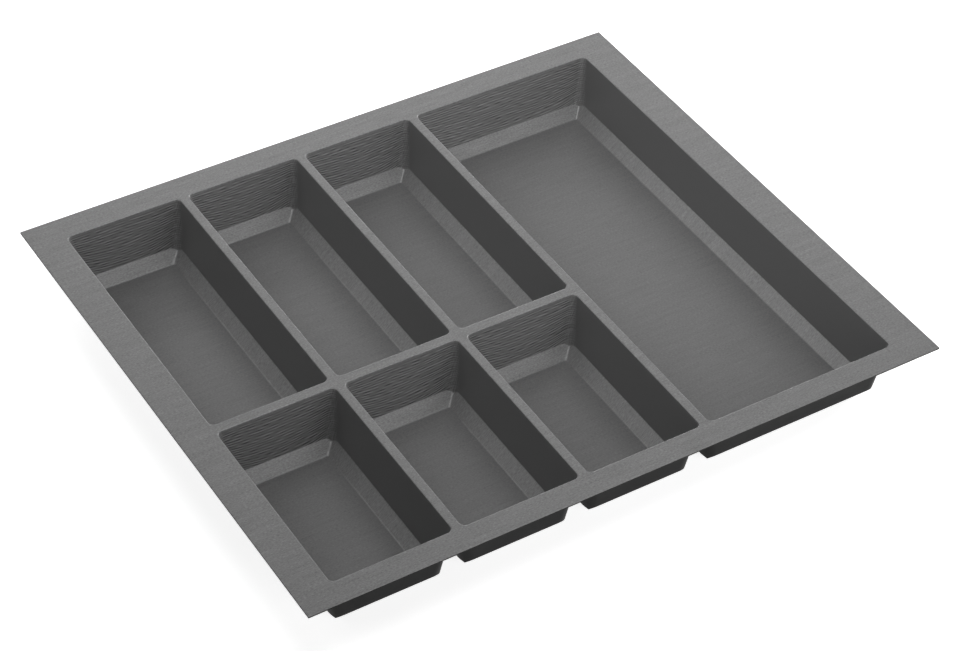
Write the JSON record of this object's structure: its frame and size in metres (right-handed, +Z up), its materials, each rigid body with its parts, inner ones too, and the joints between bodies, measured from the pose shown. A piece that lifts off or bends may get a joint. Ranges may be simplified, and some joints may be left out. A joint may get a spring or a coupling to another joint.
{
  "type": "cutlery tray",
  "caption": "Drawer insert formed from one sheet: a flat brushed-grey rim and dividers with drafted, round-cornered pockets for cutlery and a long one for utensils.",
  "frame": {"origin": "middle of the tray's plan, on the surface that the pocket floors rest on", "axes": "+X along the front edge to the right, towards the utensil pocket, +Y to the back, +Z up"},
  "size_m": [0.54, 0.4676, 0.0533],
  "materials": {
    "formed_sheet": "brushed grain running along the front edge, matt; smooth dark underside"
  },
  "bodies": {
    "root": {"rim_deck": "formed_sheet", "rear_left_pocket": "formed_sheet", "rear_middle_pocket": "formed_sheet", "rear_right_pocket": "formed_sheet", "front_left_pocket": "formed_sheet", "front_middle_pocket": "formed_sheet", "front_right_pocket": "formed_sheet", "utensil_pocket": "formed_sheet"}
  },
  "joints": []
}
